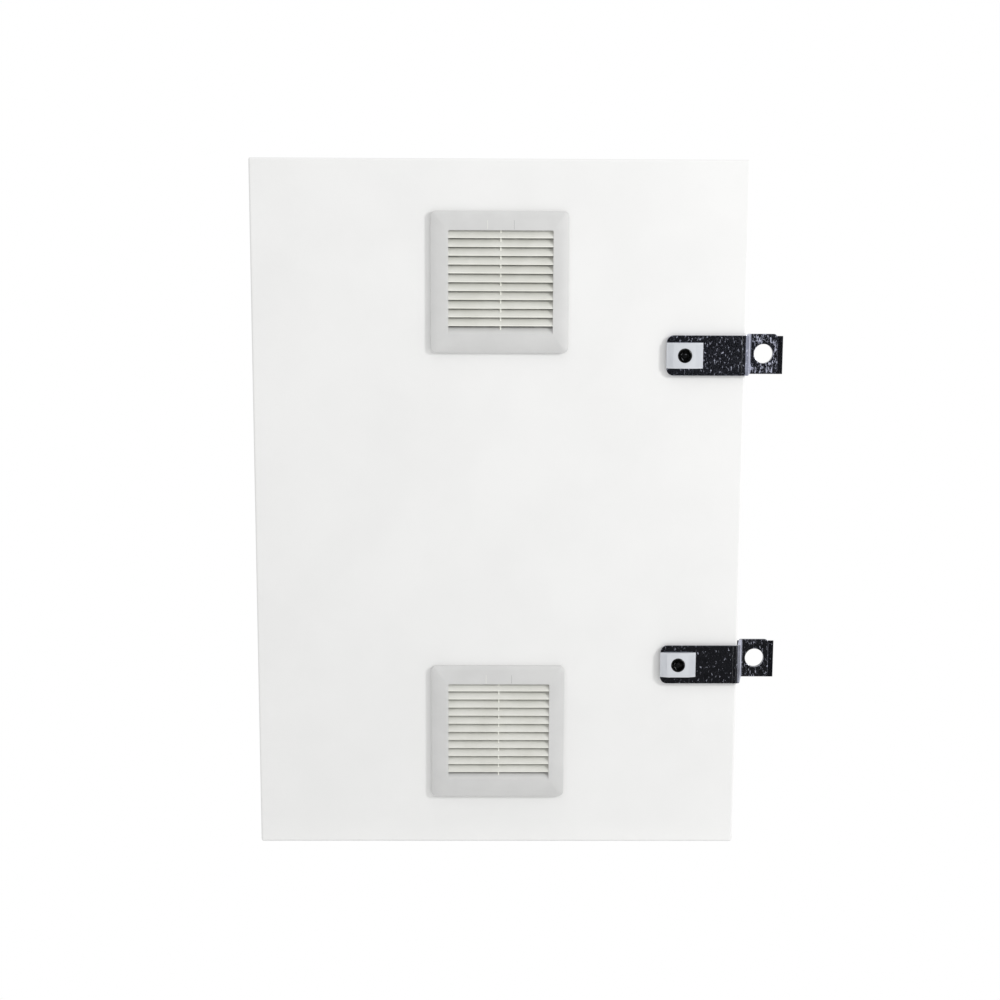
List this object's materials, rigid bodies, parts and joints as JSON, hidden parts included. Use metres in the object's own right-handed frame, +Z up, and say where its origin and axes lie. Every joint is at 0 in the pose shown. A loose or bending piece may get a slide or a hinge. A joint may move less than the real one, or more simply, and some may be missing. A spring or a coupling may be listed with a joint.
{
  "type": "automatic transfer switch",
  "caption": "Wall enclosure of sheet steel with louvred vents and padlock hasps on its hinged door, and a motorised changeover switch with its controls inside.",
  "frame": {"origin": "centre of the back face, which is the centre of the four wall holes", "axes": "+X to the right as seen from the front, +Y towards the wall, +Z up; the door faces -Y"},
  "size_m": [0.543, 0.26, 0.7],
  "materials": {
    "powder_coat": "fine textured powder coat, white",
    "zinc": "bright zinc plate",
    "steel": "plated steel",
    "grille_plastic": "moulded light grey",
    "lock_plastic": "moulded bluish grey",
    "black_die_cast": "black coated die cast",
    "foam": "closed-cell foam",
    "fleece": "air filter fleece",
    "black_plastic": "moulded black",
    "grey_plastic": "moulded grey",
    "white_plastic": "moulded white",
    "red_plastic": "moulded red",
    "screen": "display window",
    "green_plastic": "moulded green",
    "brass": "drawn brass",
    "tinned_copper": "tinned"
  },
  "bodies": {
    "cabinet": {"cabinet_shell": "powder_coat", "upper_cabinet_tab": "zinc", "lower_cabinet_tab": "zinc", "tab_rivets": "zinc", "upper_cabinet_hinge": "steel", "lower_cabinet_hinge": "steel", "hinge_pins": "steel", "mounting_plate": "zinc", "plate_studs": "steel", "gland_gasket": "foam", "gland_plate": "powder_coat", "gland_screws": "steel", "switch_frame": "zinc", "first_source_poles": "black_plastic", "second_source_poles": "black_plastic", "power_terminals": "tinned_copper", "operator_case": "grey_plastic", "breaker_rail": "zinc", "first_breaker": "white_plastic", "second_breaker": "white_plastic", "controller_case": "black_plastic", "controller_screen": "screen", "terminal_rail": "zinc", "control_terminals": "grey_plastic", "left_duct": "grey_plastic", "right_duct": "grey_plastic", "bar_insulators": "red_plastic", "earth_bar": "brass", "earth_screws": "steel"},
    "door": {"door_panel": "powder_coat", "door_gasket": "foam", "upper_grille_base": "grille_plastic", "lower_grille_base": "grille_plastic", "upper_filter_mat": "fleece", "lower_filter_mat": "fleece", "upper_hasp": "zinc", "lower_hasp": "zinc", "upper_hasp_seal": "foam", "lower_hasp_seal": "foam", "upper_lock_housing": "lock_plastic", "lower_lock_housing": "lock_plastic", "lock_nuts": "steel", "upper_door_hinge": "steel", "lower_door_hinge": "steel"},
    "upper_cover": {"upper_grille_cover": "grille_plastic"},
    "lower_cover": {"lower_grille_cover": "grille_plastic"},
    "upper_lock": {"upper_lock_core": "black_die_cast", "upper_cam": "zinc", "upper_cam_screw": "zinc"},
    "lower_lock": {"lower_lock_core": "black_die_cast", "lower_cam": "zinc", "lower_cam_screw": "zinc"},
    "handle": {"changeover_handle": "red_plastic", "handle_shaft": "steel"},
    "first_lever": {"first_breaker_lever": "black_plastic"},
    "second_lever": {"second_breaker_lever": "black_plastic"},
    "auto_push": {"auto_button": "green_plastic"},
    "test_push": {"test_button": "grey_plastic"},
    "first_push": {"first_button": "grey_plastic"},
    "second_push": {"second_button": "grey_plastic"}
  },
  "joints": [
    {"name": "door_hinge", "type": "hinge", "parent": "cabinet", "child": "door", "pos_m": [-0.244, -0.244, 0], "axis": [0, 0, -1], "range_deg": [0, 105]},
    {"name": "upper_cover_pull", "type": "slide", "parent": "door", "child": "upper_cover", "axis": [0, -1, 0], "range_m": [0, 0.03]},
    {"name": "upper_lock_turn", "type": "hinge", "parent": "door", "child": "upper_lock", "pos_m": [0.1877, -0.25, 0.1585], "axis": [0, -1, 0], "range_deg": [0, 90]},
    {"name": "lower_cover_pull", "type": "slide", "parent": "door", "child": "lower_cover", "axis": [0, -1, 0], "range_m": [0, 0.03]},
    {"name": "lower_lock_turn", "type": "hinge", "parent": "door", "child": "lower_lock", "pos_m": [0.1877, -0.25, -0.1585], "axis": [0, -1, 0], "range_deg": [0, 90]},
    {"name": "handle_turn", "type": "hinge", "parent": "cabinet", "child": "handle", "pos_m": [0, -0.14, 0.04], "axis": [0, -1, 0], "range_deg": [-45, 45]},
    {"name": "first_lever_throw", "type": "hinge", "parent": "cabinet", "child": "first_lever", "pos_m": [0.038, -0.091, 0.22], "axis": [1, 0, 0], "range_deg": [0, 60]},
    {"name": "second_lever_throw", "type": "hinge", "parent": "cabinet", "child": "second_lever", "pos_m": [0.08, -0.091, 0.22], "axis": [1, 0, 0], "range_deg": [0, 60]},
    {"name": "auto_button_press", "type": "slide", "parent": "cabinet", "child": "auto_push", "axis": [0, 1, 0], "range_m": [0, 0.0015], "stiffness_N_per_m": 300},
    {"name": "test_button_press", "type": "slide", "parent": "cabinet", "child": "test_push", "axis": [0, 1, 0], "range_m": [0, 0.0015], "stiffness_N_per_m": 300},
    {"name": "first_button_press", "type": "slide", "parent": "cabinet", "child": "first_push", "axis": [0, 1, 0], "range_m": [0, 0.0015], "stiffness_N_per_m": 300},
    {"name": "second_button_press", "type": "slide", "parent": "cabinet", "child": "second_push", "axis": [0, 1, 0], "range_m": [0, 0.0015], "stiffness_N_per_m": 300}
  ]
}
